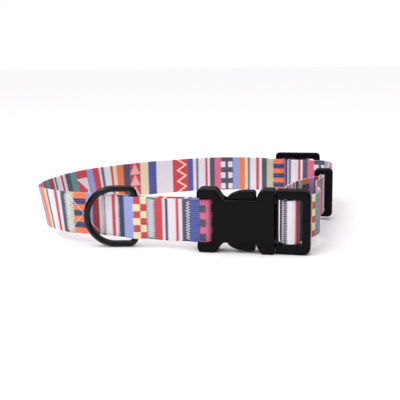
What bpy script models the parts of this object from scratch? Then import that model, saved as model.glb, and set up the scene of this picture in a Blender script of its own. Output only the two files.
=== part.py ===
"""Adjustable dog collar: printed webbing, side-release buckle, D-ring, slide adjuster and keeper loop.

The collar stands on its edge as an open loop. X runs along the buckle towards the plug, the collar's
outer face at the buckle looks along -Y, and Z is up. The origin is on the lower rest face of the
buckle housing, beside the parting line. Lengths below are in millimetres until a mesh is made.
"""

import math

import bmesh
import bpy

MM = 0.001

# Webbing
STRAP_WIDTH = 25.0
STRAP_THICK = 1.3
GAP = 0.3
PLY = STRAP_THICK + GAP
STRAP_MID_Z = 18.4
CUT_Y = 14.0
STEP = 0.8

# Buckle
BUCKLE_HALF = 18.4
HOUSING_END = -40.5
MOUTH = 3.5
HOUSING_THICK = 11.0
CAVITY_THICK = 7.0
CAVITY_HALF = 15.2
WINDOW_HALF = 12.4
PLUG_START = MOUTH + 0.4
PLUG_END = 23.4
PLUG_THICK = 8.0
ARM_THICK = 6.2
ARM_HINGE_Z = 11.5

# D-ring
RING_BAR_X = -79.0
RING_WIRE = 3.8
RING_HALF = 16.5
RING_CORNER = 4.0
RING_DEPTH = 28.3
RING_TILT = math.radians(10.0)

# Slide adjuster
GLIDE_MIN_X = -11.5
GLIDE_MAX_X = 21.5
GLIDE_Y = 148.0
GLIDE_THICK = 3.5
GLIDE_HALF = 17.7
GLIDE_BAR = (3.0, 7.0)

# Keeper loop
KEEPER_Y = 86.0
KEEPER_LENGTH = 6.0
KEEPER_HALF = 16.2
KEEPER_WALL = 3.4
KEEPER_OUTER_WALL = 5.2
STRANDS_X = (25.0, 26.6)

TURN_BACK_END = -126.0
BEND_START = -131.0


def clear_scene():
    for obj in list(bpy.data.objects):
        bpy.data.objects.remove(obj, do_unlink=True)


def make_collection(name):
    group = bpy.data.collections.new(name)
    bpy.context.scene.collection.children.link(group)
    return group


def make_material(name, colour, roughness, metallic=0.0):
    material = bpy.data.materials.new(name)
    material.use_nodes = True
    shader = material.node_tree.nodes["Principled BSDF"]
    shader.inputs["Base Color"].default_value = (*colour, 1.0)
    shader.inputs["Roughness"].default_value = roughness
    shader.inputs["Metallic"].default_value = metallic
    return material


clear_scene()
PARTS = make_collection("dog_collar")
CUTTERS = make_collection("cutters")
PLASTIC = make_material("moulded_acetal", (0.012, 0.012, 0.013), 0.35)
STEEL = make_material("black_coated_steel", (0.01, 0.01, 0.01), 0.2, 0.6)
WEBBING = make_material("printed_polyester_webbing", (0.75, 0.55, 0.55), 0.75)
THREAD = make_material("polyester_thread", (0.85, 0.83, 0.8), 0.6)


# Shapes


def box(name, low, high, group, material=None):
    """A box between two corners."""
    middle = [(a + b) / 2 * MM for a, b in zip(low, high)]
    size = [(b - a) * MM for a, b in zip(low, high)]
    mesh = bpy.data.meshes.new(name)
    form = bmesh.new()
    bmesh.ops.create_cube(form, size=1.0)
    bmesh.ops.scale(form, vec=size, verts=form.verts)
    form.to_mesh(mesh)
    form.free()
    obj = bpy.data.objects.new(name, mesh)
    obj.location = middle
    group.objects.link(obj)
    if material:
        mesh.materials.append(material)
    return obj


def cutter(name, low, high):
    obj = box(name, low, high, CUTTERS)
    obj.hide_render = True
    obj.display_type = "WIRE"
    return obj


def meshed(obj, material):
    """Turns a curve object into a welded mesh object of the same name and place."""
    bpy.context.view_layer.update()
    graph = bpy.context.evaluated_depsgraph_get()
    mesh = bpy.data.meshes.new_from_object(obj.evaluated_get(graph))
    form = bmesh.new()
    form.from_mesh(mesh)
    bmesh.ops.remove_doubles(form, verts=form.verts, dist=0.000005)
    bmesh.ops.recalc_face_normals(form, faces=form.faces)
    form.to_mesh(mesh)
    form.free()
    mesh.materials.clear()
    mesh.materials.append(material)
    name, place = obj.name, obj.matrix_world.copy()
    bpy.data.objects.remove(obj, do_unlink=True)
    solid = bpy.data.objects.new(name, mesh)
    solid.matrix_world = place
    PARTS.objects.link(solid)
    return solid


def flat_curve(name, outlines, thickness, edge=0.0):
    """A filled 2D curve with one closed outline and any holes, extruded both ways from its plane."""
    curve = bpy.data.curves.new(name, "CURVE")
    curve.dimensions = "2D"
    curve.fill_mode = "BOTH"
    curve.extrude = (thickness / 2 - edge) * MM
    curve.bevel_depth = edge * MM
    curve.bevel_resolution = 1
    curve.offset = -edge * MM
    for outline in outlines:
        spline = curve.splines.new("POLY")
        spline.points.add(len(outline) - 1)
        for point, (u, v) in zip(spline.points, outline):
            point.co = (u * MM, v * MM, 0.0, 1.0)
        spline.use_cyclic_u = True
    obj = bpy.data.objects.new(name, curve)
    PARTS.objects.link(obj)
    return obj


def upright_plate(name, outlines, thickness, y, material, edge=0.0):
    """A plate whose outline is in X and Z and whose thickness is centred on y."""
    obj = flat_curve(name, outlines, thickness, edge)
    obj.rotation_euler = (math.radians(90.0), 0.0, 0.0)
    obj.location = (0.0, y * MM, 0.0)
    return meshed(obj, material)


def cut(obj, tool, operation="DIFFERENCE"):
    boolean = obj.modifiers.new(tool.name, "BOOLEAN")
    boolean.operation = operation
    boolean.object = tool
    return boolean


def smooth_line(points, tension=0.5):
    """Points about STEP apart on a Catmull-Rom curve through the given ones."""
    ends = [points[0]] + list(points) + [points[-1]]
    line = []
    for a, b, c, d in zip(ends, ends[1:], ends[2:], ends[3:]):
        steps = max(2, round(math.dist(b, c) / STEP))
        for i in range(steps):
            t = i / steps
            line.append(tuple(
                q + tension * t * ((r - p) + t * ((2 * p - 5 * q + 4 * r - s) + t * (3 * (q - r) + s - p)))
                for p, q, r, s in zip(a, b, c, d)
            ))
    return line + [tuple(points[-1])]


def thinned(line, turn=math.radians(5.0), reach=9.0):
    """Drops points of a line where it is nearly straight."""
    kept = [line[0]]
    turned = 0.0
    for before, here, after in zip(line, line[1:], line[2:]):
        first = math.atan2(here[1] - before[1], here[0] - before[0])
        second = math.atan2(after[1] - here[1], after[0] - here[0])
        turned += abs(math.remainder(second - first, math.tau))
        if turned >= turn or math.dist(kept[-1], here) >= reach:
            kept.append(here)
            turned = 0.0
    return kept + [line[-1]]


def beside(line, distance):
    """The line moved sideways, to its left for a positive distance."""
    moved = []
    for i, (x, y) in enumerate(line):
        before = line[max(i - 1, 0)]
        after = line[min(i + 1, len(line) - 1)]
        run, rise = after[0] - before[0], after[1] - before[1]
        length = math.hypot(run, rise)
        moved.append((x - rise / length * distance, y + run / length * distance))
    return moved


def strap(name, line):
    """Webbing on edge along a line in plan."""
    route = thinned(line)
    outline = beside(route, STRAP_THICK / 2) + beside(route, -STRAP_THICK / 2)[::-1]
    obj = flat_curve(name, [outline], STRAP_WIDTH)
    obj.location = (0.0, 0.0, STRAP_MID_Z * MM)
    return meshed(obj, WEBBING)


def rounded_rectangle(x0, x1, z0, z1, radius, steps=4):
    outline = []
    corners = [(x1, z1, 1, 1, 0), (x0, z1, -1, 1, 90), (x0, z0, -1, -1, 180), (x1, z0, 1, -1, 270)]
    for x, z, side_x, side_z, start in corners:
        for i in range(steps + 1):
            angle = math.radians(start + 90.0 * i / steps)
            outline.append((
                x - side_x * radius + radius * math.cos(angle),
                z - side_z * radius + radius * math.sin(angle),
            ))
    return outline


def mirrored(upper):
    """An outline from its upper half, given from left to right about z = 0, at strap height."""
    whole = list(upper) + [(x, -z) for x, z in reversed(upper)]
    return [(x, z + STRAP_MID_Z) for x, z in whole]


# Buckle


def s_curve(x0, z0, x1, z1, steps=6):
    """A smooth step between two levels."""
    return [
        (x0 + (x1 - x0) * i / steps, z0 + (z1 - z0) * (1 - math.cos(math.pi * i / steps)) / 2)
        for i in range(steps + 1)
    ]


def corner(x, z, radius, start, steps=4):
    """A quarter round about a centre, turning clockwise from the start angle in degrees."""
    return [
        (
            x + radius * math.cos(math.radians(start - 90.0 * i / steps)),
            z + radius * math.sin(math.radians(start - 90.0 * i / steps)),
        )
        for i in range(steps + 1)
    ]


def housing():
    """The female half: end bar for the webbing, side windows for the latches, open mouth."""
    top = corner(HOUSING_END + 2.5, BUCKLE_HALF - 2.5, 2.5, 180)
    top += s_curve(-31.0, BUCKLE_HALF, -24.5, WINDOW_HALF)
    top += s_curve(-7.2, WINDOW_HALF, -5.6, BUCKLE_HALF - 2.0, 3)
    top += [(-3.5, BUCKLE_HALF)]
    top += corner(MOUTH - 1.2, BUCKLE_HALF - 1.2, 1.2, 90)
    body = upright_plate("buckle_housing", [mirrored(top)], HOUSING_THICK, 0.0, PLASTIC, 0.9)
    half = STRAP_WIDTH / 2 + 0.5
    low, high = STRAP_MID_Z - half, STRAP_MID_Z + half
    cuts = [
        cutter("strap_slot", (-35.5, -9, low), (-31.1, 9, high)),
        cutter("bar_end", (-44, -9, low), (HOUSING_END + 1.0, 9, high)),
        cutter("bar_front", (-44, -9, low), (-31.1, -2.0, high)),
        cutter("bar_back", (-44, 2.0, low), (-31.1, 9, high)),
        cutter(
            "latch_cavity",
            (-25.5, -CAVITY_THICK / 2, STRAP_MID_Z - CAVITY_HALF),
            (MOUTH + 1, CAVITY_THICK / 2, STRAP_MID_Z + CAVITY_HALF),
        ),
    ]
    for tool in cuts:
        cut(body, tool)


def plug():
    """The male half without its latch arms: strap frame, adjusting bar and guide tongue."""
    top = corner(PLUG_START + 1.2, BUCKLE_HALF - 1.3, 1.2, 180)
    top += corner(PLUG_END - 4.0, BUCKLE_HALF - 4.1, 4.0, 90)
    slot = rounded_rectangle(5.1, 18.5, STRAP_MID_Z - 13.1, STRAP_MID_Z + 13.1, 1.0, 2)
    frame = upright_plate("buckle_plug", [mirrored(top), slot], PLUG_THICK, 0.0, PLASTIC, 0.9)
    low, high = STRAP_MID_Z - 13.6, STRAP_MID_Z + 13.6
    bar = cutter("adjusting_bar", (10.0, -1.4, low), (14.0, 1.4, high))
    tongue = cutter(
        "guide_tongue", (-20.5, -2.2, STRAP_MID_Z - 3.4), (PLUG_START + 0.6, 2.2, STRAP_MID_Z + 3.4)
    )
    cut(frame, bar, "UNION")
    cut(frame, tongue, "UNION")


def latch_arm(name, side):
    """A spring arm and its thumb pad, pivoting at the plug's face."""
    arm_end = MOUTH + 0.1
    profile = [
        (-23.7, 11.4), (-23.0, 13.9), (-20.5, 15.6), (-17.0, 16.9), (-13.0, 17.3), (-8.6, 17.3),
        (-7.4, 16.4), (-7.4, 12.8), (arm_end, 12.8), (arm_end, 10.2), (-7.5, 10.2), (-11.0, 9.6),
        (-21.5, 9.6), (-23.2, 10.2),
    ]
    outline = [(x - arm_end, side * (z - ARM_HINGE_Z)) for x, z in profile]
    obj = flat_curve(name, [outline], ARM_THICK, 0.4)
    obj.rotation_euler = (math.radians(90.0), 0.0, 0.0)
    obj.location = (arm_end * MM, 0.0, (STRAP_MID_Z + side * ARM_HINGE_Z) * MM)
    meshed(obj, PLASTIC)


# D-ring


def front_line(x):
    """How far the doubled front run bends inwards, left of the buckle."""
    run = max(0.0, -44.0 - x)
    curl = max(0.0, -108.0 - x)
    return 0.08 * run * run / (run + 12.0) + 0.007 * curl * curl


def d_ring():
    """Bent wire: a straight bar held between the plies and a round bow outside."""
    steps = 5
    path = [(0.0, -8.0), (0.0, 0.0), (0.0, 8.0)]
    for i in range(steps + 1):
        angle = math.pi / 2 * i / steps
        path.append((
            -RING_CORNER * (1 - math.cos(angle)),
            RING_HALF - RING_CORNER * (1 - math.sin(angle)),
        ))
    middle = RING_DEPTH - RING_HALF
    for i in range(21):
        angle = math.pi / 2 + math.pi * i / 20
        path.append((RING_HALF * math.cos(angle) - middle, RING_HALF * math.sin(angle)))
    path += [(d, -z) for d, z in reversed(path[3:3 + steps + 1])]
    curve = bpy.data.curves.new("d_ring", "CURVE")
    curve.dimensions = "3D"
    curve.bevel_depth = RING_WIRE / 2 * MM
    curve.bevel_resolution = 3
    spline = curve.splines.new("POLY")
    spline.points.add(len(path) - 1)
    for point, (depth, z) in zip(spline.points, path):
        place = (depth * math.cos(RING_TILT), depth * math.sin(RING_TILT), z)
        point.co = (*(value * MM for value in place), 1.0)
    spline.use_cyclic_u = True
    obj = bpy.data.objects.new("d_ring", curve)
    obj.location = (RING_BAR_X * MM, front_line(RING_BAR_X) * MM, STRAP_MID_Z * MM)
    PARTS.objects.link(obj)
    ring = meshed(obj, STEEL)
    ring.data.shade_smooth()


# Slide adjuster and keeper loop


def glide():
    """A frame with two slots, whose middle bar carries the sewn end of the webbing."""
    outer = rounded_rectangle(
        GLIDE_MIN_X, GLIDE_MAX_X, STRAP_MID_Z - GLIDE_HALF, STRAP_MID_Z + GLIDE_HALF, 2.6, 3
    )
    slot = rounded_rectangle(
        GLIDE_MIN_X + 4.5, GLIDE_MAX_X - 4.5, STRAP_MID_Z - 13.1, STRAP_MID_Z + 13.1, 0.8, 2
    )
    frame = upright_plate("slide_adjuster", [outer, slot], GLIDE_THICK, GLIDE_Y, PLASTIC, 0.6)
    low, high = GLIDE_BAR
    bar = cutter(
        "adjuster_bar",
        (low, GLIDE_Y - 1.1, STRAP_MID_Z - 13.6),
        (high, GLIDE_Y + 1.1, STRAP_MID_Z + 13.6),
    )
    cut(frame, bar, "UNION")


def keeper():
    """A rectangular band round both strands."""
    low = STRANDS_X[0] - STRAP_THICK / 2 - GAP
    high = STRANDS_X[1] + STRAP_THICK / 2 + GAP
    outer = rounded_rectangle(
        low - KEEPER_WALL, high + KEEPER_OUTER_WALL,
        STRAP_MID_Z - KEEPER_HALF, STRAP_MID_Z + KEEPER_HALF, 2.4, 3,
    )
    inner = rounded_rectangle(low, high, STRAP_MID_Z - 12.9, STRAP_MID_Z + 12.9, 0.4, 2)
    upright_plate("keeper_loop", [outer, inner], KEEPER_LENGTH, KEEPER_Y, PLASTIC, 0.6)


# Webbing runs


def ring_bulge(x):
    """How far each ply stands out to go round the D-ring's bar."""
    away = abs(x - RING_BAR_X)
    if away > 9.0:
        return 0.0
    full = RING_WIRE / 2 + GAP + STRAP_THICK / 2 - PLY / 2
    return full * (1 + math.cos(math.pi * away / 9.0)) / 2


def bar_bulge(x):
    """How far each ply stands out to go round the housing's end bar."""
    share = min(1.0, max(0.0, (x + 48.0) / 7.5))
    full = 2.0 + GAP + STRAP_THICK / 2 - PLY / 2
    return full * (1 - math.cos(math.pi * share)) / 2


def front_ply(x, side):
    return front_line(x) + side * (PLY / 2 + ring_bulge(x) + bar_bulge(x))


def main_run():
    """From the sewn-down end, round the housing's bar, along the front, the fold and the back."""
    turn = 2.0 + GAP + STRAP_THICK / 2
    bar_x = -35.5
    count = round((bar_x - TURN_BACK_END) / STEP)
    inner = [TURN_BACK_END + (bar_x - TURN_BACK_END) * i / count for i in range(count)]
    line = [(x, front_ply(x, 1)) for x in inner]
    for i in range(17):
        angle = math.pi / 2 - math.pi * i / 16
        line.append((bar_x + turn * math.cos(angle), turn * math.sin(angle)))
    outer = [bar_x - (bar_x - BEND_START) * i / 120 for i in range(1, 120)]
    line += [(x, front_ply(x, -1)) for x in outer]
    bend = smooth_line([
        (BEND_START, front_ply(BEND_START, -1)), (-138.0, 13.3), (-143.4, 19.4), (-146.4, 28.0),
        (-147.8, 41.0), (-144.6, 65.0), (-133.6, 90.0), (-116.0, 110.5),
        (-92.0, 128.5), (-66.0, 139.6), (-45.0, 144.0), (-32.0, glide_strap_y()),
        (-22.0, glide_strap_y()), (GLIDE_MIN_X - 0.6, glide_strap_y()),
    ])
    strap("collar_webbing", line + bend)


def glide_strap_y():
    """The webbing lies against the adjuster's inner side."""
    return GLIDE_Y - GLIDE_THICK / 2 - GAP - STRAP_THICK / 2


def through_glide():
    """The run over the adjuster's middle bar, outside the sewn end."""
    level = glide_strap_y()
    strap("webbing_through_adjuster", smooth_line([
        (GLIDE_MIN_X - 0.3, level), (-8.8, level), (-6.5, level + 0.2), (-5.2, level + 1.4),
        (-4.9, level + 3.4), (-3.2, level + 5.7), (0.8, level + 6.6), (6.2, level + 6.6),
        (10.4, level + 5.3), (13.2, level + 3.0), (15.0, level + 0.9), (17.0, level),
        (GLIDE_MAX_X + 0.3, level),
    ]))


def outer_strand():
    """From the adjuster, round the back corner and through the keeper, down to the buckle."""
    far = STRANDS_X[1]
    strap("outer_strand", smooth_line([
        (GLIDE_MAX_X + 0.6, glide_strap_y()), (25.4, 144.3), (29.0, 140.2), (30.6, 133.0),
        (30.0, 121.0), (27.7, 109.0), (far, 101.5), (far, 94.0), (far, 81.5), (26.4, 77.5), (25.4, 71.0),
        (23.3, 60.0), (24.2, 44.0), (26.4, 31.0), (25.8, 21.5), (22.6, CUT_Y + GAP),
    ]))


def plug_loop():
    """In at the back of the plug, over its adjusting bar and out again."""
    strap("webbing_in_plug", smooth_line([
        (22.4, CUT_Y), (20.0, 9.4), (18.2, 6.6), (17.0, 3.4), (16.6, 1.0), (15.7, -1.2),
        (13.4, -2.6), (10.6, -2.6), (8.2, -1.2), (6.9, 1.5), (6.4, 5.0), (5.8, 9.0),
        (5.2, CUT_Y),
    ]))


def inner_strand():
    """Back from the buckle, through the keeper and along the corner to the adjuster."""
    near = STRANDS_X[0]
    strap("inner_strand", smooth_line([
        (5.2, CUT_Y + GAP), (4.8, 26.0), (6.0, 40.0), (9.0, 52.0), (13.4, 63.0), (18.6, 71.0),
        (23.2, 76.4), (near, 82.2), (near, 94.0), (near, 101.5), (26.1, 109.0), (28.4, 121.0),
        (28.9, 132.6), (27.4, 138.9), (24.6, 142.5), (GLIDE_MAX_X + 0.6, glide_strap_y() - PLY),
    ]))


def adjuster_turn():
    """The end of the webbing, folded round the adjuster's middle bar and sewn down."""
    level = glide_strap_y()
    strap("webbing_on_adjuster", smooth_line([
        (GLIDE_MAX_X + 0.3, level - PLY), (17.2, level - 1.5), (13.0, level - 0.7),
        (7.4, level + 0.6), (2.2, level + 0.7), (-1.2, level + 1.3), (-2.1, level + 2.8),
        (-1.0, level + 4.2), (2.2, level + 4.8), (7.0, level + 4.75), (9.8, level + 3.2),
        (12.2, level + 1.4),
    ]))


# Sewing


def tack(name, x0, x1):
    """A bar of close stitches across the outer face, through both plies."""
    y = front_ply((x0 + x1) / 2, -1) - STRAP_THICK / 2 - 0.55
    low = STRAP_MID_Z - STRAP_WIDTH / 2 + 1.2
    high = STRAP_MID_Z + STRAP_WIDTH / 2 - 1.2
    box(name, (x0, y - 0.15, low), (x1, y + 0.15, high), PARTS, THREAD)


def cross_stitch():
    """The stitched cross and box that hold the turned-back end."""
    x0, x1 = -120.5, -101.5
    half = STRAP_WIDTH / 2 - 2.5
    line = 0.8
    rim = rounded_rectangle(x0, x1, STRAP_MID_Z - half, STRAP_MID_Z + half, 0.3, 1)
    middle_x = (x0 + x1) / 2
    inset = 2.2 * line
    holes = []
    for run, rise in ((1, 0), (0, 1), (-1, 0), (0, -1)):
        reach_x, reach_z = (x1 - x0) / 2 - line, half - line
        tip = (middle_x + run * line, STRAP_MID_Z + rise * line)
        if run:
            ends = [(middle_x + run * reach_x, STRAP_MID_Z + s * (reach_z - inset)) for s in (1, -1)]
        else:
            ends = [(middle_x + s * (reach_x - inset), STRAP_MID_Z + rise * reach_z) for s in (1, -1)]
        holes.append([tip, *ends])
    slope = math.atan2(front_line(x0) - front_line(x1), x1 - x0)
    y = front_ply(middle_x, -1) - STRAP_THICK / 2 - 0.75
    obj = flat_curve("cross_stitching", [rim, *holes], 0.3)
    for spline in obj.data.splines:
        for point in spline.points:
            point.co.x -= middle_x * MM
    obj.rotation_euler = (math.radians(90.0), 0.0, -slope)
    obj.location = (middle_x * MM, y * MM, 0.0)
    meshed(obj, THREAD)


housing()
plug()
latch_arm("upper_latch_arm", 1)
latch_arm("lower_latch_arm", -1)
d_ring()
glide()
keeper()
main_run()
through_glide()
outer_strand()
plug_loop()
inner_strand()
adjuster_turn()
cross_stitch()
tack("end_tack", -99.6, -97.6)
tack("ring_tack_left", -90.0, -88.0)
tack("ring_tack_right", -69.0, -65.5)
tack("buckle_tack", -52.0, -49.5)
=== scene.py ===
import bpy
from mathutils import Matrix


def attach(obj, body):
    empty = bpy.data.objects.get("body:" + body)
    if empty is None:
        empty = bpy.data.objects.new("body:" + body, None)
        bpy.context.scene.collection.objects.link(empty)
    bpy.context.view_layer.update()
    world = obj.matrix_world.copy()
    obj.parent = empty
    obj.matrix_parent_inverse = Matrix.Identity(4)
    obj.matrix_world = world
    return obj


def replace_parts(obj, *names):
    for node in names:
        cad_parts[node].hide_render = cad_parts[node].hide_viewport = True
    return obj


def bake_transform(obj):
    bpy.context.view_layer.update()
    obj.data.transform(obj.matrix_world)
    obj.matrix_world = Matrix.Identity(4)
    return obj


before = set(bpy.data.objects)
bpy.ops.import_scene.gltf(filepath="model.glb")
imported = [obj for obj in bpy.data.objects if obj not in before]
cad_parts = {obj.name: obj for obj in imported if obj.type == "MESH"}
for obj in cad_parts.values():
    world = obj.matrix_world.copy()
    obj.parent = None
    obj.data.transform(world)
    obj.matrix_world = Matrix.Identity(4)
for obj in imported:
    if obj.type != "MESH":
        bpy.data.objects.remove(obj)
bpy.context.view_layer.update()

import math

import bpy
from mathutils import Matrix, Vector


# Studio: a pale paper floor under one broad overhead light, with weak fills from the front and sides.
# The sweep is matte card, so the collar leaves only a faint soft shadow on it.
def srgb(code):
    """A colour's sRGB hex as linear red, green, blue and alpha."""
    parts = [int(code[i:i + 2], 16) / 255 for i in (1, 3, 5)]
    return (*(p / 12.92 if p <= 0.04045 else ((p + 0.055) / 1.055) ** 2.4 for p in parts), 1.0)


def add_node(tree, kind, settings, links, output=0):
    """A new node with its settings and its inputs, which are values or other nodes' outputs."""
    node = tree.nodes.new(kind)
    for name, value in settings.items():
        setattr(node, name, value)
    for name, value in links.items():
        if isinstance(value, bpy.types.NodeSocket):
            tree.links.new(value, node.inputs[name])
        else:
            node.inputs[name].default_value = value
    return node.outputs[output]


def new_material(name):
    """A material, its node tree and its Principled shader."""
    material = bpy.data.materials.new(name)
    material.use_nodes = True
    return material, material.node_tree, material.node_tree.nodes["Principled BSDF"]


bpy.ops.object.select_all(action="DESELECT")
bpy.ops.mesh.primitive_plane_add(size=8.0, location=(0.0, 0.0, 0.0))
floor = bpy.context.object
floor.name = "paper_floor"
# Matte white card: a very slight mottle is all the eye gets from it.
card, tree, shader = new_material("matte_white_card")
mottle = add_node(tree, "ShaderNodeTexNoise", {}, {
    "Vector": add_node(tree, "ShaderNodeTexCoord", {}, {}, "Object"), "Scale": 30.0, "Detail": 4.0,
})
tone = add_node(tree, "ShaderNodeMix", {"data_type": "RGBA"}, {
    0: mottle, 6: srgb("#F6F4F7"), 7: srgb("#FAF9FB"),
}, 2)
tree.links.new(tone, shader.inputs["Base Color"])
shader.inputs["Roughness"].default_value = 0.9
shader.inputs["Specular IOR Level"].default_value = 0.1
floor.data.materials.append(card)

# The room is white to look at, and lights the collar more from above than from the sides.
world = bpy.data.worlds.new("studio")
bpy.context.scene.world = world
world.use_nodes = True
tree = world.node_tree
height = add_node(tree, "ShaderNodeSeparateXYZ", {}, {
    0: add_node(tree, "ShaderNodeTexCoord", {}, {}, "Generated"),
}, "Z")
overhead = add_node(tree, "ShaderNodeMapRange", {"interpolation_type": "SMOOTHSTEP"}, {
    "Value": height, "From Min": 0.05, "From Max": 0.8, "To Min": 0.14, "To Max": 0.85,
})
seen = add_node(tree, "ShaderNodeMix", {"data_type": "FLOAT"}, {
    0: add_node(tree, "ShaderNodeLightPath", {}, {}, "Is Camera Ray"), 2: overhead, 3: 1.0,
})
tree.links.new(seen, tree.nodes["Background"].inputs["Strength"])
tree.nodes["Background"].inputs["Color"].default_value = (1.0, 1.0, 1.0, 1.0)


def area_light(name, place, target, size, power):
    """A square softbox that faces a point."""
    light = bpy.data.lights.new(name, "AREA")
    light.shape = "SQUARE"
    light.size = size
    light.energy = power
    lamp = bpy.data.objects.new(name, light)
    bpy.context.scene.collection.objects.link(lamp)
    lamp.location = place
    lamp.rotation_euler = (Vector(target) - Vector(place)).to_track_quat("-Z", "Y").to_euler()


sun = bpy.data.objects.new("overhead_silk", bpy.data.lights.new("overhead_silk", "SUN"))
bpy.context.scene.collection.objects.link(sun)
sun.data.angle = math.radians(75.0)
sun.data.energy = 1.1
sun.rotation_euler = (math.radians(12.0), math.radians(-10.0), 0.0)
area_light("top_softbox", (-0.05, 0.0, 0.75), (-0.05, 0.06, 0.02), 0.5, 0.8)
area_light("front_fill", (-0.45, -0.95, 0.5), (-0.05, 0.05, 0.02), 0.6, 1.95)
area_light("left_spark", (-0.42, -0.30, 0.55), (-0.06, 0.0, 0.02), 0.13, 0.9)

camera_place = (0.0436, -0.3913, 0.1132)
pan, dip, roll = 0.2090, 0.2065, -0.0184
lens = bpy.data.cameras.new("camera")
lens.lens = 64.65
lens.clip_start = 0.01
camera = bpy.data.objects.new("camera", lens)
bpy.context.scene.collection.objects.link(camera)
camera.matrix_world = (
    Matrix.Translation(camera_place)
    @ Matrix.Rotation(pan, 4, "Z")
    @ Matrix.Rotation(math.pi / 2 - dip, 4, "X")
    @ Matrix.Rotation(roll, 4, "Z")
)
bpy.context.scene.camera = camera
bpy.context.scene.view_settings.view_transform = "Standard"


# Webbing: one length of 25 mm flat woven polyester, printed on both faces by heat transfer. Its cut end
# is turned back round the housing's bar and sewn down; the far end is sewn round the adjuster's bar.
# Sizes are in millimetres, and each piece is built in metres.
MM = 0.001
STRAP_WIDTH = 25.0
STRAP_THICK = 1.3
GAP = 0.3
PLY = STRAP_THICK + GAP
STRAP_MID_Z = 18.4
RING_BAR_X = -79.0
RING_WIRE = 3.8
RING_SPREAD = 9.0
HOUSING_BAR_X = -35.5
HOUSING_BAR_HALF = 2.0
GLIDE_Y = 148.0
GLIDE_THICK = 3.5
KEEPER_Y = 86.0
CUT_Y = 14.0
LEVEL = GLIDE_Y - GLIDE_THICK / 2 - GAP - STRAP_THICK / 2


def smooth_line(points, step=0.8):
    """Points about a step apart on a Catmull-Rom curve through the given ones."""
    ends = [points[0]] + list(points) + [points[-1]]
    line = []
    for a, b, c, d in zip(ends, ends[1:], ends[2:], ends[3:]):
        steps = max(2, round(math.dist(b, c) / step))
        for i in range(steps):
            t = i / steps
            line.append(tuple(
                q + 0.5 * t * ((r - p) + t * ((2 * p - 5 * q + 4 * r - s) + t * (3 * (q - r) + s - p)))
                for p, q, r, s in zip(a, b, c, d)
            ))
    return line + [tuple(points[-1])]


def front_line(x):
    """How far the doubled front run bends inwards, left of the buckle: gently, then more at its end."""
    bend_from, curl_from = -44.0, -108.0
    run = max(0.0, bend_from - x)
    curl = max(0.0, curl_from - x)
    return 0.08 * run * run / (run + 12.0) + 0.007 * curl * curl


def front_ply(x, side):
    """The middle of the inner ply (side 1) or outer ply (side -1), which part round the ring and the bar."""
    away = min(RING_SPREAD, abs(x - RING_BAR_X)) / RING_SPREAD
    ring = (RING_WIRE / 2 + GAP + STRAP_THICK / 2 - PLY / 2) * (1 + math.cos(math.pi * away)) / 2
    share = min(1.0, max(0.0, (x + 48.0) / 7.5))
    bar = (HOUSING_BAR_HALF + GAP + STRAP_THICK / 2 - PLY / 2) * (1 - math.cos(math.pi * share)) / 2
    return front_line(x) + side * (PLY / 2 + ring + bar)


# The route in plan: the inner ply, round the housing's bar, the outer ply, and on round the loop.
cut_end, bend_start = -126.0, -131.0
turn = HOUSING_BAR_HALF + GAP + STRAP_THICK / 2
route = []
for i in range(113):
    x = cut_end + (HOUSING_BAR_X - cut_end) * i / 113
    route.append((x, front_ply(x, 1)))
for i in range(17):
    angle = math.pi / 2 - math.pi * i / 16
    route.append((HOUSING_BAR_X + turn * math.cos(angle), turn * math.sin(angle)))
for i in range(1, 120):
    x = HOUSING_BAR_X - (HOUSING_BAR_X - bend_start) * i / 120
    route.append((x, front_ply(x, -1)))
route += smooth_line([
    (bend_start, front_ply(bend_start, -1)), (-138.0, 13.3), (-143.4, 19.4), (-146.4, 28.0),
    (-147.8, 41.0), (-144.6, 65.0), (-133.6, 90.0), (-116.0, 110.5), (-92.0, 128.5), (-66.0, 139.6),
    (-45.0, 144.0), (-32.0, LEVEL), (-22.0, LEVEL), (-12.0, LEVEL),
])
route += smooth_line([
    (-11.8, LEVEL), (-8.8, LEVEL), (-6.5, LEVEL + 0.2), (-5.2, LEVEL + 1.4), (-4.9, LEVEL + 3.4),
    (-3.2, LEVEL + 5.7), (0.8, LEVEL + 6.6), (6.2, LEVEL + 6.6), (10.4, LEVEL + 5.3),
    (13.2, LEVEL + 3.0), (15.0, LEVEL + 0.9), (17.0, LEVEL), (21.9, LEVEL),
])
route += smooth_line([
    (22.1, LEVEL), (25.4, 144.3), (29.0, 140.2), (30.6, 133.0), (30.0, 121.0), (27.7, 109.0),
    (26.6, 101.5), (26.6, 94.0), (26.6, 81.5), (26.4, 77.5), (25.4, 71.0), (23.3, 60.0),
    (24.2, 44.0), (26.4, 31.0), (25.8, 21.5), (22.4, CUT_Y), (20.0, 9.4), (18.2, 6.6), (17.0, 3.4),
    (16.6, 1.0), (15.7, -1.2), (13.4, -2.6), (10.6, -2.6), (8.2, -1.2), (6.9, 1.5), (6.4, 5.0),
    (5.8, 9.0), (5.2, CUT_Y), (4.8, 26.0), (6.0, 40.0), (9.0, 52.0), (13.4, 63.0), (18.6, 71.0),
    (23.2, 76.4), (25.0, 82.2), (25.0, 94.0), (25.0, 101.5), (26.1, 109.0), (28.4, 121.0),
    (28.9, 132.6), (27.4, 138.9), (24.6, 142.5), (22.0, LEVEL - 1.6), (17.2, LEVEL - 1.5),
    (13.0, LEVEL - 0.7), (7.4, LEVEL + 0.6), (2.2, LEVEL + 0.7), (-1.2, LEVEL + 1.3),
    (-2.1, LEVEL + 2.8), (-1.0, LEVEL + 4.2), (2.2, LEVEL + 4.8), (7.0, LEVEL + 4.75),
    (9.8, LEVEL + 3.2), (12.2, LEVEL + 1.4),
])
places = [0.0]
for here, after in zip(route, route[1:]):
    places.append(places[-1] + math.dist(here, after))


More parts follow.
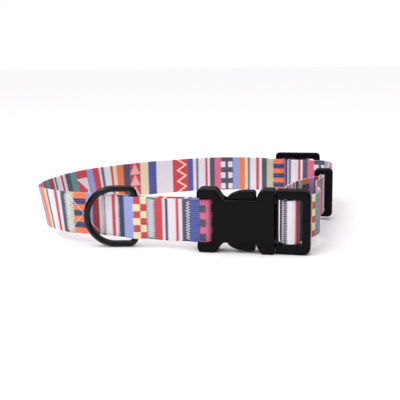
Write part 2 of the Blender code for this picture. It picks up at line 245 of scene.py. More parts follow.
def place_near(x, y, low=0.0):
    """How far along the webbing, in millimetres from its cut end, it passes a point in plan."""
    near = min((math.dist(p, (x, y)), d) for p, d in zip(route, places) if low <= d)
    return near[1]


at_bar = place_near(HOUSING_BAR_X + turn, 0.0)
at_glide = place_near(4.0, LEVEL + 6.6)
at_keeper = place_near(26.6, KEEPER_Y)
at_plug = place_near(12.0, -2.6, at_keeper)
at_keeper_again = place_near(25.0, KEEPER_Y, at_plug)

# The print's stripes run across the webbing. Each row is a stripe's ground colour and its width in
# millimetres, from left to right as the front of the collar shows them; a name marks a patterned stripe.
INKS = {
    "white": "#ECE5ED", "cream": "#F3DCBC", "periwinkle": "#94A2DC", "orange": "#F5783E",
    "royal": "#3A4C9C", "charcoal": "#3C3F58", "navy": "#17264F", "slate": "#5E6680",
    "sage": "#C3C2A6", "teal": "#4E9399", "red": "#CE2F40", "deep_red": "#A81A30",
    "pink": "#DC6488", "blush": "#F3B4B6", "maroon": "#6E2440", "sea_grey": "#57808C",
    "block_navy": "#22306E", "check_cream": "#FBE3B6", "zigzag_cream": "#F8D3B2", "bare_yarn": "#DCD6DE",
}
STRIPES = [
    ("maroon", 3.2), ("sea_grey", 5.9), ("deep_red", 6.0), ("white", 1.7), ("slate", 2.3),
    ("white", 5.8), ("red", 2.4), ("white", 2.9), ("charcoal", 5.5), ("teal", 5.6),
    ("red", 10.3, "tents"), ("periwinkle", 5.5), ("red", 5.3), ("white", 1.8), ("slate", 2.2),
    ("white", 5.7), ("red", 1.6), ("cream", 2.7), ("orange", 5.1), ("charcoal", 5.5),
    ("red", 8.4, "peaks"), ("cream", 6.2), ("royal", 6.3), ("white", 13.2), ("red", 11.9, "zigzag"),
    ("royal", 3.7), ("white", 2.8), ("slate", 1.6), ("white", 4.9), ("red", 1.8), ("white", 2.3),
    ("charcoal", 3.5), ("pink", 5.1), ("charcoal", 8.8, "windows"), ("periwinkle", 4.9), ("orange", 4.6),
    ("cream", 2.1), ("slate", 1.6), ("white", 4.8), ("red", 1.9), ("white", 2.3), ("charcoal", 3.7),
    ("sage", 5.2), ("orange", 8.2, "blocks"), ("periwinkle", 4.0), ("deep_red", 4.3),
    ("white", 8.1, "dashes"), ("red", 2.0), ("white", 1.5), ("navy", 4.3), ("periwinkle", 6.5),
    ("red", 7.9, "checks"), ("teal", 4.8), ("red", 4.6), ("white", 1.8), ("navy", 1.5),
    ("white", 4.7), ("red", 2.0), ("white", 1.9), ("charcoal", 5.2), ("royal", 6.0),
    ("pink", 10.2, "squares"),
]
stripe_starts = []
starts, widths = {}, {}
repeat = 0.0
for ink, width, *motif in STRIPES:
    stripe_starts.append((repeat, ink))
    for name in motif:
        starts[name], widths[name] = repeat, width
    repeat += width
blocks_end = starts["blocks"] + widths["blocks"]

# Where the blocks end on each stretch, in millimetres from the housing's bar: outer face, then inner.
BLOCKS_ON_BACK = (79.5, 339.5)
BLOCKS_TO_PLUG = (544.2, 473.1)
BLOCKS_FROM_PLUG = (644.4, 608.8)


def print_place(u, outer_face):
    """Which place of the print shows at u millimetres from the bar, on the outer or the inner face."""
    outer, inner = BLOCKS_FROM_PLUG
    if u < at_glide - at_bar:
        outer, inner = BLOCKS_ON_BACK
    elif u < at_plug - at_bar or (outer_face and u < at_keeper_again - at_bar):
        outer, inner = BLOCKS_TO_PLUG
    return blocks_end + (outer - u if outer_face else u - inner)


# Printed polyester webbing: flat ribs with a fine weave between them, so stripe edges look sawn and
# dark inks show pale flecks. Ribs are 1.25 mm apart, drawn a little coarser than real yarn to show.
RIB = 1.25
PICK = 1.1
RAMP_STRIPES = 31  # a colour ramp holds no more than 32
webbing, tree, shader = new_material("printed_polyester_webbing")
uv = add_node(tree, "ShaderNodeUVMap", {"uv_map": "Print"}, {})
metres_along = add_node(tree, "ShaderNodeSeparateXYZ", {}, {0: uv}, "X")
metres_across = metres_along.node.outputs["Y"]
along = add_node(tree, "ShaderNodeMath", {"operation": "MULTIPLY"}, {0: metres_along, 1: 1 / MM})
across = add_node(tree, "ShaderNodeMath", {"operation": "MULTIPLY"}, {0: metres_across, 1: 1 / MM})
rib = add_node(tree, "ShaderNodeMath", {"operation": "PINGPONG"}, {0: across, 1: RIB / 2})
rib = add_node(tree, "ShaderNodeMath", {"operation": "DIVIDE"}, {0: rib, 1: RIB / 2})
push = add_node(tree, "ShaderNodeMath", {"operation": "SUBTRACT"}, {0: rib, 1: 0.5})
sawn = add_node(tree, "ShaderNodeMath", {"operation": "ADD"}, {0: along, 1: push})
spot = add_node(tree, "ShaderNodeMath", {"operation": "FLOORED_MODULO"}, {0: sawn, 1: repeat})
half_way = stripe_starts[RAMP_STRIPES][0]
ramps = []
for part, low, high in (
    (stripe_starts[:RAMP_STRIPES], 0.0, half_way), (stripe_starts[RAMP_STRIPES:], half_way, repeat),
):
    share = add_node(tree, "ShaderNodeMath", {"operation": "SUBTRACT"}, {0: spot, 1: low})
    share = add_node(tree, "ShaderNodeMath", {"operation": "DIVIDE"}, {0: share, 1: high - low})
    ramp = add_node(tree, "ShaderNodeValToRGB", {}, {0: share})
    stops = ramp.node.color_ramp
    stops.interpolation = "CONSTANT"
    while len(stops.elements) > 1:
        stops.elements.remove(stops.elements[-1])
    stops.elements[0].position = 0.0
    stops.elements[0].color = srgb(INKS[part[0][1]])
    for start, ink in part[1:]:
        stop = stops.elements.new((start - low) / (high - low))
        stop.color = srgb(INKS[ink])
    ramps.append(ramp)
second_half = add_node(tree, "ShaderNodeMath", {"operation": "GREATER_THAN"}, {0: spot, 1: half_way})
inked = add_node(tree, "ShaderNodeMix", {"data_type": "RGBA"}, {0: second_half, 6: ramps[0], 7: ramps[1]}, 2)

# The patterned stripes: each one's shape, which is 1 where its second ink is printed, and that ink.
shapes = {}
third = STRAP_WIDTH / 3
up_third = add_node(tree, "ShaderNodeMath", {"operation": "FLOORED_MODULO"}, {0: across, 1: third})
# Navy blocks on orange: seven rows, orange at both edges.
row = STRAP_WIDTH / 7
up_pair = add_node(tree, "ShaderNodeMath", {"operation": "FLOORED_MODULO"}, {0: across, 1: row * 2})
navy_rows = add_node(tree, "ShaderNodeMath", {"operation": "GREATER_THAN"}, {0: up_pair, 1: row})
shapes["blocks"] = (navy_rows, "block_navy")
# Red and cream checks: two columns of six.
column_edge = starts["checks"] + 4.2
upper_row = add_node(tree, "ShaderNodeMath", {"operation": "GREATER_THAN"}, {0: up_third, 1: third / 2})
right_column = add_node(tree, "ShaderNodeMath", {"operation": "GREATER_THAN"}, {0: spot, 1: column_edge})
checks = add_node(tree, "ShaderNodeMath", {"operation": "COMPARE"}, {0: upper_row, 1: right_column, 2: 0.5})
shapes["checks"] = (checks, "check_cream")
# Blush peaks on red, three up the width.
peak_middle, peak_half = starts["peaks"] + 4.2, 4.1
off_middle = add_node(tree, "ShaderNodeMath", {"operation": "SUBTRACT"}, {0: spot, 1: peak_middle})
off_middle = add_node(tree, "ShaderNodeMath", {"operation": "ABSOLUTE"}, {0: off_middle})
narrowed = add_node(tree, "ShaderNodeMath", {"operation": "DIVIDE"}, {0: up_third, 1: third})
narrowed = add_node(tree, "ShaderNodeMath", {"operation": "SUBTRACT"}, {0: 1.0, 1: narrowed})
narrowed = add_node(tree, "ShaderNodeMath", {"operation": "MULTIPLY"}, {0: narrowed, 1: peak_half})
peaks = add_node(tree, "ShaderNodeMath", {"operation": "LESS_THAN"}, {0: off_middle, 1: narrowed})
shapes["peaks"] = (peaks, "blush")
# A cream zigzag on red.
zigzag_left, zigzag_swing, zigzag_half = starts["zigzag"] + 4.2, 6.2, 1.15
swing = add_node(tree, "ShaderNodeMath", {"operation": "PINGPONG"}, {0: across, 1: third / 2})
swing = add_node(tree, "ShaderNodeMath", {"operation": "DIVIDE"}, {0: swing, 1: third / 2})
swing = add_node(tree, "ShaderNodeMath", {"operation": "MULTIPLY"}, {0: swing, 1: zigzag_swing})
swing = add_node(tree, "ShaderNodeMath", {"operation": "ADD"}, {0: swing, 1: zigzag_left})
zigzag = add_node(tree, "ShaderNodeMath", {"operation": "COMPARE"}, {0: spot, 1: swing, 2: zigzag_half})
shapes["zigzag"] = (zigzag, "zigzag_cream")
# White tents beside red ones, under a red cap.
tent_foot, tent_height, tent_width, tent_cap = 1.0, 9.5, 9.0, 19.6
slope = add_node(tree, "ShaderNodeMath", {"operation": "SUBTRACT"}, {0: across, 1: tent_foot})
slope = add_node(tree, "ShaderNodeMath", {"operation": "PINGPONG"}, {0: slope, 1: tent_height})
slope = add_node(tree, "ShaderNodeMath", {"operation": "DIVIDE"}, {0: slope, 1: tent_height})
slope = add_node(tree, "ShaderNodeMath", {"operation": "MULTIPLY"}, {0: slope, 1: tent_width})
slope = add_node(tree, "ShaderNodeMath", {"operation": "ADD"}, {0: slope, 1: starts["tents"]})
past_slope = add_node(tree, "ShaderNodeMath", {"operation": "GREATER_THAN"}, {0: spot, 1: slope})
under_cap = add_node(tree, "ShaderNodeMath", {"operation": "LESS_THAN"}, {0: across, 1: tent_cap})
tents = add_node(tree, "ShaderNodeMath", {"operation": "MULTIPLY"}, {0: past_slope, 1: under_cap})
shapes["tents"] = (tents, "white")
# White windows on charcoal, and charcoal squares on pink: two columns, three rows.
rows = add_node(tree, "ShaderNodeMath", {"operation": "COMPARE"}, {0: up_third, 1: 3.0, 2: 2.2})
for name, ink in (("windows", "white"), ("squares", "charcoal")):
    width = widths[name]
    side = add_node(tree, "ShaderNodeMath", {"operation": "SUBTRACT"}, {0: spot, 1: starts[name] + width / 2})
    side = add_node(tree, "ShaderNodeMath", {"operation": "ABSOLUTE"}, {0: side})
    columns = add_node(tree, "ShaderNodeMath", {"operation": "COMPARE"}, {
        0: side, 1: width * 0.31, 2: width * 0.19,
    })
    panes = add_node(tree, "ShaderNodeMath", {"operation": "MULTIPLY"}, {0: columns, 1: rows})
    shapes[name] = (panes, ink)
# A dashed navy line in white, broken at each rib.
dash_middle, dash_half, dash_gap = starts["dashes"] + 3.1, 1.05, 0.3
line = add_node(tree, "ShaderNodeMath", {"operation": "COMPARE"}, {0: spot, 1: dash_middle, 2: dash_half})
up_rib = add_node(tree, "ShaderNodeMath", {"operation": "FLOORED_MODULO"}, {0: across, 1: RIB})
unbroken = add_node(tree, "ShaderNodeMath", {"operation": "GREATER_THAN"}, {0: up_rib, 1: dash_gap})
dashes = add_node(tree, "ShaderNodeMath", {"operation": "MULTIPLY"}, {0: line, 1: unbroken})
shapes["dashes"] = (dashes, "navy")
for name, (shape, ink) in shapes.items():
    half = widths[name] / 2
    inside = add_node(tree, "ShaderNodeMath", {"operation": "COMPARE"}, {
        0: spot, 1: starts[name] + half, 2: half,
    })
    mask = add_node(tree, "ShaderNodeMath", {"operation": "MULTIPLY"}, {0: inside, 1: shape})
    inked = add_node(tree, "ShaderNodeMix", {"data_type": "RGBA"}, {
        0: mask, 6: inked, 7: srgb(INKS[ink]),
    }, 2)

# The weave: picks cross the ribs, half a pick out in every other rib, and bare yarn flecks the hollows; the
# hollows are also darkened with painted shade.
shift = add_node(tree, "ShaderNodeMath", {"operation": "DIVIDE"}, {0: across, 1: RIB})
shift = add_node(tree, "ShaderNodeMath", {"operation": "FLOOR"}, {0: shift})
pick = add_node(tree, "ShaderNodeMath", {"operation": "DIVIDE"}, {0: along, 1: PICK})
pick = add_node(tree, "ShaderNodeMath", {"operation": "MULTIPLY_ADD"}, {0: shift, 1: 0.5, 2: pick})
pick = add_node(tree, "ShaderNodeMath", {"operation": "PINGPONG"}, {0: pick, 1: 0.5})
weave = add_node(tree, "ShaderNodeMath", {"operation": "MULTIPLY"}, {0: pick, 1: 0.9})
weave = add_node(tree, "ShaderNodeMath", {"operation": "MULTIPLY_ADD"}, {0: rib, 1: 0.55, 2: weave})
yarn = add_node(tree, "ShaderNodeTexNoise", {}, {"Vector": uv, "Scale": 900.0, "Detail": 3.0})
soil = add_node(tree, "ShaderNodeTexNoise", {}, {"Vector": uv, "Scale": 60.0, "Detail": 2.0})
flecks = add_node(tree, "ShaderNodeMath", {"operation": "LESS_THAN"}, {0: weave, 1: 0.36})
flecks = add_node(tree, "ShaderNodeMath", {"operation": "MULTIPLY"}, {0: flecks, 1: yarn})
flecks = add_node(tree, "ShaderNodeMath", {"operation": "MULTIPLY"}, {0: flecks, 1: 0.5})
inked = add_node(tree, "ShaderNodeMix", {"data_type": "RGBA"}, {
    0: flecks, 6: inked, 7: srgb(INKS["bare_yarn"]),
}, 2)
# Painted shade: the print is darkened where the weave is low, and varied at random by the yarn and soil
# noises.
painted_shade_and_tone = add_node(tree, "ShaderNodeMath", {"operation": "MULTIPLY_ADD"}, {0: weave, 1: 0.16, 2: 0.72})
painted_shade_and_tone = add_node(tree, "ShaderNodeMath", {"operation": "MULTIPLY_ADD"}, {0: yarn, 1: 0.16, 2: painted_shade_and_tone})
painted_shade_and_tone = add_node(tree, "ShaderNodeMath", {"operation": "MULTIPLY_ADD"}, {0: soil, 1: 0.08, 2: painted_shade_and_tone})
inked = add_node(tree, "ShaderNodeMix", {"data_type": "RGBA", "blend_type": "MULTIPLY"}, {
    0: 1.0, 6: inked, 7: painted_shade_and_tone,
}, 2)
tree.links.new(inked, shader.inputs["Base Color"])
rough = add_node(tree, "ShaderNodeMath", {"operation": "MULTIPLY_ADD"}, {0: yarn, 1: 0.15, 2: 0.66})
tree.links.new(rough, shader.inputs["Roughness"])
height = add_node(tree, "ShaderNodeMath", {"operation": "MULTIPLY_ADD"}, {0: yarn, 1: 0.5, 2: weave})
bump = add_node(tree, "ShaderNodeBump", {}, {"Strength": 0.55, "Distance": 0.00012, "Height": height})
tree.links.new(bump, shader.inputs["Normal"])
shader.inputs["Specular IOR Level"].default_value = 0.3
shader.inputs["Sheen Weight"].default_value = 0.12
shader.inputs["Sheen Roughness"].default_value = 0.5

path = bpy.data.curves.new("webbing_route", "CURVE")
path.dimensions = "3D"
path.twist_mode = "Z_UP"
spline = path.splines.new("POLY")
spline.points.add(len(route) - 1)
for point, (x, y) in zip(spline.points, route):
    point.co = (x * MM, y * MM, STRAP_MID_Z * MM, 1.0)
path_object = bpy.data.objects.new("webbing_route", path)
bpy.context.scene.collection.objects.link(path_object)


def apply_modifiers(piece):
    """Applies a piece's modifiers in their order."""
    bpy.ops.object.select_all(action="DESELECT")
    piece.select_set(True)
    bpy.context.view_layer.objects.active = piece
    for modifier in list(piece.modifiers):
        bpy.ops.object.modifier_apply(modifier=modifier.name)


def eased(value):
    """0 to 1, smoothly, and no further."""
    value = min(1.0, max(0.0, value))
    return value * value * (3 - 2 * value)


# The loop doesn't stand quite level: how high the webbing rides, by millimetres from the bar.
RIDES = [
    (-20, -0.3), (0, -0.4), (8, -0.5), (25, -1.0), (45, -0.5), (80, 0.5), (110, 0.8), (150, 0.5),
    (200, 0.6), (250, 1.0), (290, 1.6), (318, 1.6), (334, 0.5), (372, 0.0),
]


def rise(u):
    """How far the webbing rides above its middle line, in millimetres."""
    for (u0, z0), (u1, z1) in zip(RIDES, RIDES[1:]):
        if u0 <= u <= u1:
            return z0 + (z1 - z0) * eased((u - u0) / (u1 - u0))
    return RIDES[0][1] if u < 0 else 0.0


def lean(x):
    """How much the free loop leans outwards for its height, where it folds back at the left."""
    return 0.19 * eased((-112.0 - x) / 30.0)


def length_of_webbing(name, first, last):
    """The webbing between two places on its route: a strip with round selvedges, bent to the route."""
    bpy.ops.object.select_all(action="DESELECT")
    bpy.ops.mesh.primitive_grid_add(
        x_subdivisions=round((last - first) / 0.9), y_subdivisions=12, size=1.0,
        location=((first + last) / 2 * MM, 0.0, 0.0), rotation=(math.pi / 2, 0.0, 0.0),
    )
    strip = bpy.context.object
    strip.name = strip.data.name = name
    strip.scale = ((last - first) * MM, STRAP_WIDTH * MM, 1.0)
    bpy.ops.object.transform_apply(location=True, rotation=True, scale=True)
    solid = strip.modifiers.new("thickness", "SOLIDIFY")
    solid.thickness = STRAP_THICK * MM
    solid.offset = 0.0
    selvedge = strip.modifiers.new("selvedge", "BEVEL")
    selvedge.width = 0.45 * MM
    selvedge.segments = 3
    selvedge.limit_method = "ANGLE"
    selvedge.angle_limit = math.radians(50.0)
    apply_modifiers(strip)
    while strip.data.uv_layers:
        strip.data.uv_layers.remove(strip.data.uv_layers[0])
    layer = strip.data.uv_layers.new(name="Print")
    for face in strip.data.polygons:
        middle = face.center.x / MM - at_bar
        start = print_place(middle, face.center.y > 0)
        way = -1 if face.center.y > 0 else 1
        for corner in face.loop_indices:
            spot_on = strip.data.vertices[strip.data.loops[corner].vertex_index].co
            step = way * (spot_on.x / MM - at_bar - middle)
            layer.data[corner].uv = ((start + step) * MM, spot_on.z + STRAP_WIDTH / 2 * MM)
    for vertex in strip.data.vertices:
        along_strip = vertex.co.x / MM
        vertex.co.z += rise(abs(along_strip - at_bar)) * MM
        # The turned-back ply was sewn a little askew, so it shows above the outer one near the buckle.
        if along_strip < at_bar - 4.0:
            askew = 0.9 * math.sin((along_strip - 38.0) / 28.0) * eased((at_bar - along_strip) / 25.0)
            vertex.co.z += askew * MM
    bend = strip.modifiers.new("route", "CURVE")
    bend.object = path_object
    bend.deform_axis = "POS_X"
    apply_modifiers(strip)
    for vertex in strip.data.vertices:
        vertex.co.x -= lean(vertex.co.x / MM) * (vertex.co.z - STRAP_MID_Z * MM)
    strip.data.materials.append(webbing)
    bpy.ops.object.shade_smooth()
    return strip


front_and_back = length_of_webbing("webbing_front_and_back", 0.0, at_glide)
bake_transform(front_and_back)
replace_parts(front_and_back, "collar_webbing", "webbing_through_adjuster")
corner_run = length_of_webbing("webbing_outer_corner", at_glide, at_keeper)
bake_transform(corner_run)
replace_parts(corner_run, "outer_strand")
buckle_run = length_of_webbing("webbing_through_plug", at_keeper, at_keeper_again)
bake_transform(buckle_run)
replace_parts(buckle_run, "webbing_in_plug", "inner_strand")
sewn_end = length_of_webbing("webbing_sewn_to_adjuster", at_keeper_again, places[-1])
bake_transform(sewn_end)
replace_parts(sewn_end, "webbing_on_adjuster")
bpy.data.objects.remove(path_object)


# Buckle housing: the female half of a side-release buckle, injection-moulded black acetal. The webbing
# loops round its end bar, the latch arms show in its side windows, and every edge is softly rounded.
BUCKLE_HALF = 18.4
# Moulded acetal: near-black with a faint blue cast, a fine spark-eroded grain and a painted highlight that
# lightens the convex edges.
acetal, tree, shader = new_material("moulded_black_acetal")
coordinates = add_node(tree, "ShaderNodeTexCoord", {}, {}, "Object")
grain = add_node(tree, "ShaderNodeTexNoise", {}, {"Vector": coordinates, "Scale": 2600.0, "Detail": 2.0})
cloud = add_node(tree, "ShaderNodeTexNoise", {}, {"Vector": coordinates, "Scale": 120.0, "Detail": 3.0})
# Painted highlight: the sharpest convex edges, found by pointiness, are given a lighter grey.
edge = add_node(tree, "ShaderNodeNewGeometry", {}, {}, "Pointiness")
painted_edge_highlight = add_node(tree, "ShaderNodeMapRange", {}, {
    "Value": edge, "From Min": 0.52, "From Max": 0.62, "To Min": 0.0, "To Max": 1.0,
})
tint = add_node(tree, "ShaderNodeMix", {"data_type": "RGBA"}, {
    0: cloud, 6: srgb("#08070B"), 7: srgb("#0C0B10"),
}, 2)
tint = add_node(tree, "ShaderNodeMix", {"data_type": "RGBA"}, {0: painted_edge_highlight, 6: tint, 7: srgb("#1B1A20")}, 2)
tree.links.new(tint, shader.inputs["Base Color"])
gloss = add_node(tree, "ShaderNodeMapRange", {}, {
    "Value": cloud, "From Min": 0.3, "From Max": 0.7, "To Min": 0.22, "To Max": 0.28,
})
tree.links.new(gloss, shader.inputs["Roughness"])
bump = add_node(tree, "ShaderNodeBump", {}, {"Strength": 0.2, "Distance": 0.00004, "Height": grain})
tree.links.new(bump, shader.inputs["Normal"])
shader.inputs["IOR"].default_value = 1.48
shader.inputs["Specular IOR Level"].default_value = 0.09


def arc(x, z, radius, start, sweep, steps=6):
    """Points of an arc round a centre, from a start angle through a sweep, in degrees."""
    return [(
        x + radius * math.cos(math.radians(start + sweep * i / steps)),
        z + radius * math.sin(math.radians(start + sweep * i / steps)),
    ) for i in range(steps + 1)]


def s_curve(x0, z0, x1, z1, steps=10):
    """A smooth step between two levels."""
    return [
        (x0 + (x1 - x0) * i / steps, z0 + (z1 - z0) * (1 - math.cos(math.pi * i / steps)) / 2)
        for i in range(steps + 1)
    ]


def mirrored(upper):
    """A whole outline from its upper half, which runs from left to right about z = 0."""
    return list(upper) + [(x, -z) for x, z in reversed(upper)]


def rounded(x0, x1, half, radius):
    """A rectangle's outline with round corners, about z = 0."""
    left_corner = arc(x0 + radius, half - radius, radius, 180, -90)
    return mirrored(left_corner + arc(x1 - radius, half - radius, radius, 90, -90))


def plate(name, outline, front, back, round_edge=0.0):
    """An upright plate with an outline in x and z: a flat disc's rim is moved to it and extruded back."""
    bpy.ops.object.select_all(action="DESELECT")
    bpy.ops.mesh.primitive_circle_add(vertices=len(outline), radius=0.01, fill_type="NGON")
    piece = bpy.context.object
    piece.name = piece.data.name = name
    for vertex, (x, z) in zip(piece.data.vertices, outline):
        vertex.co = (x * MM, front * MM, (z + STRAP_MID_Z) * MM)
    bpy.ops.object.mode_set(mode="EDIT")
    bpy.ops.mesh.select_all(action="SELECT")
    bpy.ops.mesh.extrude_region_move(TRANSFORM_OT_translate={"value": (0.0, (back - front) * MM, 0.0)})
    bpy.ops.mesh.select_all(action="SELECT")
    bpy.ops.mesh.normals_make_consistent(inside=False)
    bpy.ops.object.mode_set(mode="OBJECT")
    if round_edge:
        soft = piece.modifiers.new("round_edge", "BEVEL")
        soft.width = round_edge * MM
        soft.segments = 4
        soft.limit_method = "ANGLE"
        soft.angle_limit = math.radians(40.0)
        apply_modifiers(piece)
    return piece


def block(low, high):
    """A plain block between two corners, to cut with or to add."""
    bpy.ops.object.select_all(action="DESELECT")
    bpy.ops.mesh.primitive_cube_add(size=1.0, location=[(a + b) / 2 * MM for a, b in zip(low, high)])
    tool = bpy.context.object
    tool.scale = [(b - a) * MM for a, b in zip(low, high)]
    tool.location.z += STRAP_MID_Z * MM
    bpy.ops.object.transform_apply(location=True, rotation=True, scale=True)
    return tool


def combine(piece, operation, tools):
    """Cuts away or adds the tools, which are then thrown away."""
    for tool in tools:
        join = piece.modifiers.new(tool.name, "BOOLEAN")
        join.operation = operation
        join.object = tool
        join.solver = "EXACT"
    apply_modifiers(piece)
    for tool in tools:
        bpy.data.objects.remove(tool)


def moulded(piece, grid, passes):
    """Rounds every edge as a mould does: the shape is rebuilt on a fine even grid and eased."""
    even = piece.modifiers.new("even", "REMESH")
    even.mode = "VOXEL"
    even.voxel_size = grid * MM
    ease = piece.modifiers.new("ease", "SMOOTH")
    ease.factor = 0.5
    ease.iterations = passes
    apply_modifiers(piece)
    piece.data.materials.clear()
    piece.data.materials.append(acetal)
    bpy.ops.object.shade_smooth()
    return piece


upper = arc(-38.0, BUCKLE_HALF - 2.5, 2.5, 180, -90)
upper += s_curve(-31.0, BUCKLE_HALF, -24.5, 12.4) + s_curve(-7.4, 12.4, -4.6, BUCKLE_HALF - 1.0, 6)
upper += arc(-2.6, BUCKLE_HALF - 1.9, 1.9, 120, -30, 3) + arc(2.3, BUCKLE_HALF - 1.2, 1.2, 90, -90)
housing = plate("buckle_housing_body", mirrored(upper), -5.5, 5.5, 1.5)
# Cut away: the webbing's slot, behind the bar, before and past it, and the latches' cavity.
combine(housing, "DIFFERENCE", [
    block((-35.5, -9, -13), (-31.1, 9, 13)),
    block((-44, -9, -13), (-39.5, 9, 13)),
    block((-44, -9, -13), (-31.1, -2.0, 13)),
    block((-44, 2.0, -13), (-31.1, 9, 13)),
    block((-25.5, -3.5, -15.2), (4.5, 3.5, 15.2)),
])
moulded(housing, 0.36, 5)
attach(housing, "strap")
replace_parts(housing, "buckle_housing")


# Plug: the male half's frame, adjusting bar and guide tongue, moulded in one with its two spring arms.
# The webbing comes in at the back, passes over the bar and goes out again beside itself.
upper = arc(5.1, BUCKLE_HALF - 1.3, 1.2, 180, -90) + arc(19.4, BUCKLE_HALF - 4.1, 4.0, 90, -90)
plug = plate("buckle_plug_frame", mirrored(upper), -4.0, 4.0, 1.5)
combine(plug, "DIFFERENCE", [plate("slot", rounded(5.1, 18.5, 13.1, 1.6), -9, 9)])
# Added: the bar across the slot, and the tongue that reaches into the housing.
combine(plug, "UNION", [
    block((10.0, -1.4, -13.6), (14.0, 1.4, 13.6)),
    block((-20.5, -2.2, -3.4), (4.5, 2.2, 3.4)),
])
moulded(plug, 0.34, 5)
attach(plug, "plug")
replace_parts(plug, "buckle_plug")


# Latch arms: two spring arms with ridged thumb pads, part of the plug moulding. They hook behind the
# housing's shoulders and bend inwards at the plug's face when they are pressed.
outline = [
    (-23.7, 11.4), (-23.2, 13.6), (-21.8, 14.9), (-20.0, 15.8), (-17.0, 16.9), (-13.0, 17.3),
    (-8.6, 17.3), (-7.4, 16.4), (-7.4, 12.8), (3.6, 12.8), (3.6, 10.2), (-7.5, 10.2),
    (-11.0, 9.6), (-21.5, 9.6), (-23.2, 10.2),
]
for side, name in ((1, "upper_latch"), (-1, "lower_latch")):
    arm = plate(name + "_pad", [(x, side * z) for x, z in outline], -3.1, 3.1, 0.5)
    grooves = []
    for x in (-18.6, -16.4, -14.2, -12.0):
        groove_z = STRAP_MID_Z + side * (17.55 - 0.05 * (x + 13.0) ** 2 * (x < -13))
        bpy.ops.object.select_all(action="DESELECT")
        bpy.ops.mesh.primitive_cylinder_add(
            vertices=16, radius=0.55 * MM, depth=4.4 * MM, rotation=(math.pi / 2, 0.0, 0.0),
            location=(x * MM, 0.0, groove_z * MM),
        )
        bpy.ops.object.transform_apply(location=True, rotation=True, scale=True)
        grooves.append(bpy.context.object)
    combine(arm, "DIFFERENCE", grooves)
    moulded(arm, 0.26, 4)
    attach(arm, name)
    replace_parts(arm, name + "_arm")


# D-ring: bent steel wire with its ends welded in the straight bar, stove-enamelled gloss black. The
# bar lies between the two plies, so the bow swings from it like a hinge.
def wire_path():
    """The ring's centreline as (reach to the left, height) pairs, round from the lower end of the bar."""
    half, corner_radius, depth = 16.5, 4.0, 28.3
    half_turn = arc(-(depth - half), 0.0, half, 90, 180, 48)
    top = arc(-corner_radius, half - corner_radius, corner_radius, 0, 90, 10)
    return [(0.0, -6.0), (0.0, 0.0), (0.0, 6.0)] + top + half_turn + [(x, -z) for x, z in reversed(top)]


# Stove enamel on steel: a deep gloss black with hard narrow highlights and a faint orange-peel surface.
enamel, tree, shader = new_material("stove_enamelled_steel")
coordinates = add_node(tree, "ShaderNodeTexCoord", {}, {}, "Object")
peel = add_node(tree, "ShaderNodeTexNoise", {}, {"Vector": coordinates, "Scale": 700.0, "Detail": 2.0})
tint = add_node(tree, "ShaderNodeMix", {"data_type": "RGBA"}, {
    0: peel, 6: srgb("#040405"), 7: srgb("#070709"),
}, 2)
tree.links.new(tint, shader.inputs["Base Color"])
gloss = add_node(tree, "ShaderNodeMapRange", {}, {"Value": peel, "To Min": 0.10, "To Max": 0.17})
tree.links.new(gloss, shader.inputs["Roughness"])
bump = add_node(tree, "ShaderNodeBump", {}, {"Strength": 0.12, "Distance": 0.00005, "Height": peel})
tree.links.new(bump, shader.inputs["Normal"])
shader.inputs["Specular IOR Level"].default_value = 0.2
shader.inputs["Coat Weight"].default_value = 0.12
shader.inputs["Coat Roughness"].default_value = 0.08

tilt = math.radians(10.0)
ring_curve = bpy.data.curves.new("d_ring_wire", "CURVE")
ring_curve.dimensions = "3D"
ring_curve.bevel_depth = RING_WIRE / 2 * MM
ring_curve.bevel_resolution = 8
spline = ring_curve.splines.new("POLY")
wire = wire_path()
spline.points.add(len(wire) - 1)
for point, (out, z) in zip(spline.points, wire):
    x = RING_BAR_X + out * math.cos(tilt)
    y = front_line(RING_BAR_X) + out * math.sin(tilt)
    point.co = (x * MM, y * MM, (z + STRAP_MID_Z) * MM, 1.0)
spline.use_cyclic_u = True
ring = bpy.data.objects.new("d_ring_wire", ring_curve)
bpy.context.scene.collection.objects.link(ring)


def made_mesh(piece, material):
    """Turns a curve into a mesh with its material."""
    bpy.ops.object.select_all(action="DESELECT")
    piece.select_set(True)
    bpy.context.view_layer.objects.active = piece
    bpy.ops.object.convert(target="MESH")
    piece = bpy.context.object
    bpy.ops.object.mode_set(mode="EDIT")
    bpy.ops.mesh.select_all(action="SELECT")
    bpy.ops.mesh.remove_doubles(threshold=0.000005)
    bpy.ops.mesh.normals_make_consistent(inside=False)
    bpy.ops.object.mode_set(mode="OBJECT")
    piece.data.materials.clear()
    piece.data.materials.append(material)
    bpy.ops.object.shade_smooth()
    return piece


ring = made_mesh(ring, enamel)
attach(ring, "ring")
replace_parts(ring, "d_ring")


# Slide adjuster: a flat acetal frame with a middle bar. The webbing's end is sewn round the bar, and
# the long run passes over it through both slots.
adjuster = plate("slide_adjuster_frame", rounded(-11.5, 21.5, 17.7, 2.8), 146.25, 149.75, 0.9)
combine(adjuster, "DIFFERENCE", [plate("slots", rounded(-7.0, 17.0, 13.1, 1.2), 140, 156)])
combine(adjuster, "UNION", [block((3.0, 146.9, -13.6), (7.0, 149.1, 13.6))])
moulded(adjuster, 0.32, 4)
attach(adjuster, "adjuster")
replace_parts(adjuster, "slide_adjuster")


# Keeper loop: a rectangular acetal band that slides on both strands and keeps them together.
keeper = plate("keeper_loop_band", rounded(20.65, 32.75, 16.2, 3.0), 83.0, 89.0, 1.3)
combine(keeper, "DIFFERENCE", [plate("opening", rounded(24.05, 27.55, 12.9, 0.5), 75, 95)])
moulded(keeper, 0.3, 4)
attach(keeper, "keeper")
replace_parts(keeper, "keeper_loop")


# Stitching: white bonded polyester thread, sewn by machine through both plies. Close zigzag tacks lie
# either side of the ring and at the turned-back end, with a sewn cross between them.
thread, tree, shader = new_material("white_polyester_thread")
coordinates = add_node(tree, "ShaderNodeTexCoord", {}, {}, "Object")
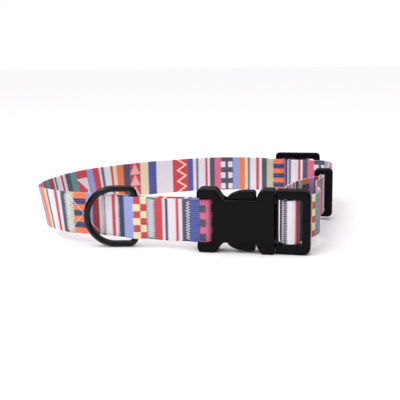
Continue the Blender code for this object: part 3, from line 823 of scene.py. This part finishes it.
# The thread's twist is about 0.4 mm long; it gives a faint rope-like break in the light.
twist = add_node(tree, "ShaderNodeTexNoise", {}, {"Vector": coordinates, "Scale": 2500.0, "Detail": 1.0})
tint = add_node(tree, "ShaderNodeMix", {"data_type": "RGBA"}, {
    0: twist, 6: srgb("#D9D5DC"), 7: srgb("#F7F5F8"),
}, 2)
tree.links.new(tint, shader.inputs["Base Color"])
rough = add_node(tree, "ShaderNodeMapRange", {}, {"Value": twist, "To Min": 0.5, "To Max": 0.75})
tree.links.new(rough, shader.inputs["Roughness"])
bump = add_node(tree, "ShaderNodeBump", {}, {"Strength": 0.4, "Distance": 0.00006, "Height": twist})
tree.links.new(bump, shader.inputs["Normal"])
shader.inputs["Sheen Weight"].default_value = 0.2


def stitched(name, stitches, side=-1, thickness=0.36):
    """Thread that dips into the cloth at both ends of each stitch. A stitch is two (x, z) ends."""
    sewn = bpy.data.curves.new(name, "CURVE")
    sewn.dimensions = "3D"
    sewn.bevel_depth = thickness / 2 * MM
    sewn.bevel_resolution = 1
    for (x0, z0), (x1, z1) in stitches:
        spline = sewn.splines.new("POLY")
        steps = (0.0, 0.07, 0.2, 0.5, 0.8, 0.93, 1.0)
        heights = (-0.3, 0.0, 0.14, 0.2, 0.14, 0.0, -0.3)
        spline.points.add(len(steps) - 1)
        for point, t, lift in zip(spline.points, steps, heights):
            x, z = x0 + (x1 - x0) * t, z0 + (z1 - z0) * t
            y = front_ply(x, side) + side * (STRAP_THICK / 2 + lift)
            point.co = ((x - lean(x) * z) * MM, y * MM, (z + STRAP_MID_Z + rise(-30.0 - x)) * MM, 1.0)
    sewn.use_fill_caps = True
    piece = bpy.data.objects.new(name, sewn)
    bpy.context.scene.collection.objects.link(piece)
    piece = made_mesh(piece, thread)
    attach(piece, "strap")
    return piece


def uneven(number):
    """A repeatable wobble between -1 and 1, as a sewing machine's feed gives."""
    return math.sin(number * 12.9898) * math.cos(number * 4.1414)


def tack(x0, x1, half, pitch):
    """Zigzag stitches up the width."""
    count = round(2 * half / pitch)
    ends = []
    for i in range(count + 1):
        reach = x0 if i % 2 else x1
        ends.append((reach + 0.35 * uneven(i + x0), -half + 2 * half * i / count))
    return list(zip(ends, ends[1:]))


def seam(start, end, stitch):
    """A row of lock stitches between two points."""
    count = max(1, round(math.dist(start, end) / stitch))
    row_ends = [tuple(a + (b - a) * i / count for a, b in zip(start, end)) for i in range(count + 1)]
    return list(zip(row_ends, row_ends[1:]))


half, tack_half = 10.4, 11.2
left, right = -120.5, -101.5
cross = seam((left, half), (right, -half), 2.6) + seam((left, -half), (right, half), 2.6)
cross += tack(left - 3.2, left + 0.6, tack_half, 0.7) + tack(left - 1.4, left + 2.2, 11.0, 0.9)
cross_piece = stitched("sewn_cross", cross)
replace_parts(cross_piece, "cross_stitching")
for name, x0, x1, pitch, node in (
    ("tack_end", -100.8, -97.4, 0.6, "end_tack"),
    ("tack_ring_left", -90.6, -88.0, 0.7, "ring_tack_left"),
    ("tack_ring_right", -71.0, -66.4, 0.55, "ring_tack_right"),
    ("tack_buckle", -47.5, -45.0, 0.8, "buckle_tack"),
):
    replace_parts(stitched(name, tack(x0, x1, tack_half, pitch)), node)
    stitched(name + "_inside", tack(x0, x1, tack_half, pitch), 1)
stitched("sewn_cross_inside", cross, 1)
